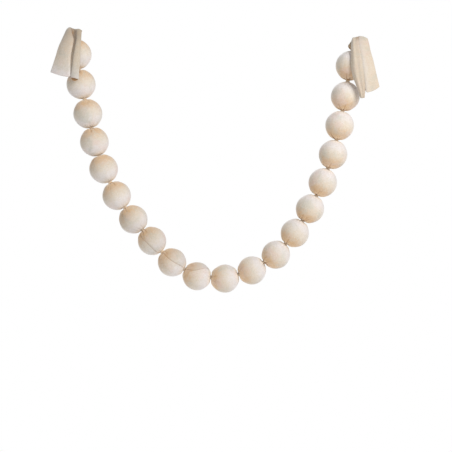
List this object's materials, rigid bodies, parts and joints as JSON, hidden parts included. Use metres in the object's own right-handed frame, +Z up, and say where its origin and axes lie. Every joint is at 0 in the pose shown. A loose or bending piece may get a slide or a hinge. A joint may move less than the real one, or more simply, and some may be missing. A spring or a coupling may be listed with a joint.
{
  "type": "velvet ball garland",
  "caption": "Hanging garland of balls in one gathered velvet sleeve, swagged in a deep curve, with an empty end of the sleeve folded over at each hanging place.",
  "frame": {"origin": "midway between the two hanging places, at the level of the left one", "axes": "+X along the garland to the viewer's right, +Y away from the viewer, +Z up; the swag hangs in the XZ plane and both sleeve ends fall on the viewer's side"},
  "size_m": [0.8522, 0.0951, 0.6957],
  "materials": {
    "velvet": "soft cream velvet, matt with a pale sheen at the rims"
  },
  "bodies": {
    "root": {"ball_01": "velvet", "ball_02": "velvet", "ball_03": "velvet", "ball_04": "velvet", "ball_05": "velvet", "ball_06": "velvet", "ball_07": "velvet", "ball_08": "velvet", "ball_09": "velvet", "ball_10": "velvet", "ball_11": "velvet", "ball_12": "velvet", "ball_13": "velvet", "ball_14": "velvet", "ball_15": "velvet", "ball_16": "velvet", "ball_17": "velvet", "ball_18": "velvet", "ball_19": "velvet", "ball_20": "velvet", "tail_left": "velvet", "tail_right": "velvet"}
  },
  "joints": []
}
